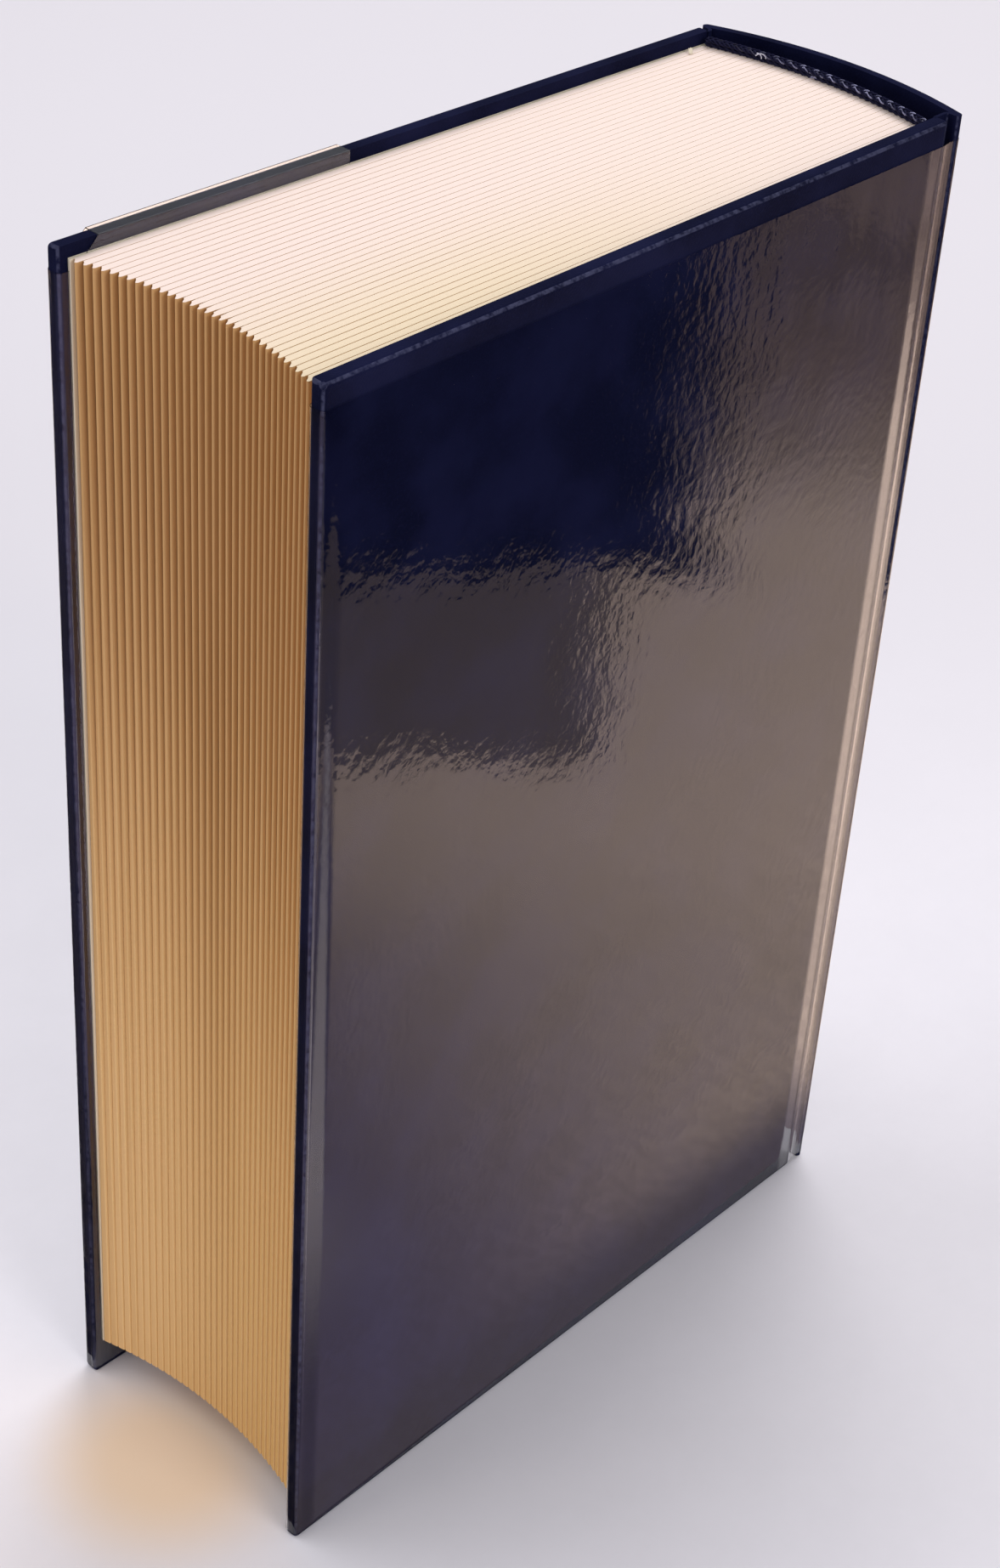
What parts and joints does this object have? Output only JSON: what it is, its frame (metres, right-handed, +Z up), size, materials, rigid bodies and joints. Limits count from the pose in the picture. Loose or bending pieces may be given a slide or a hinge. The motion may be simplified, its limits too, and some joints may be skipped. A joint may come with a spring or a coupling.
{
  "type": "hardback book",
  "caption": "Thick hardback book standing on its tail edge: cloth-covered boards that open at the joints, rounded hollow back, sewn text block with headbands, clear jacket.",
  "frame": {"origin": "centre of the footprint, on the surface that the book stands on", "axes": "+Z up from tail to head, +X from the spine to the fore-edge, +Y from the front cover to the rear cover"},
  "size_m": [0.1577, 0.061, 0.2401],
  "materials": {
    "page_paper": "uncoated, trimmed edges",
    "endpaper": "uncoated",
    "lining_paper": "kraft",
    "board": "grey binder's board",
    "spine_card": "black card",
    "book_cloth": "fine plain weave, navy",
    "band_thread": "navy and white thread",
    "mull": "open gauze",
    "clear_film": "clear, glossy"
  },
  "bodies": {
    "book_block": {"text_block": "page_paper", "headband": "band_thread", "tailband": "band_thread", "spine_mull": "mull", "spine_lining": "lining_paper", "spine_strip": "spine_card", "spine_cloth": "book_cloth", "spine_film": "clear_film", "front_flyleaf": "endpaper", "rear_flyleaf": "endpaper"},
    "front_cover": {"front_board": "board", "front_cover_cloth": "book_cloth", "front_pastedown": "endpaper", "front_jacket_film": "clear_film"},
    "rear_cover": {"rear_board": "board", "rear_cover_cloth": "book_cloth", "rear_pastedown": "endpaper", "rear_jacket_film": "clear_film"}
  },
  "joints": [
    {"name": "front_cover_joint", "type": "hinge", "parent": "book_block", "child": "front_cover", "pos_m": [-0.0707, -0.0288, 0], "axis": [0, 0, -1], "range_deg": [0, 180]},
    {"name": "rear_cover_joint", "type": "hinge", "parent": "book_block", "child": "rear_cover", "pos_m": [-0.0718, 0.0288, 0], "axis": [0, 0, 1], "range_deg": [0, 180]}
  ]
}
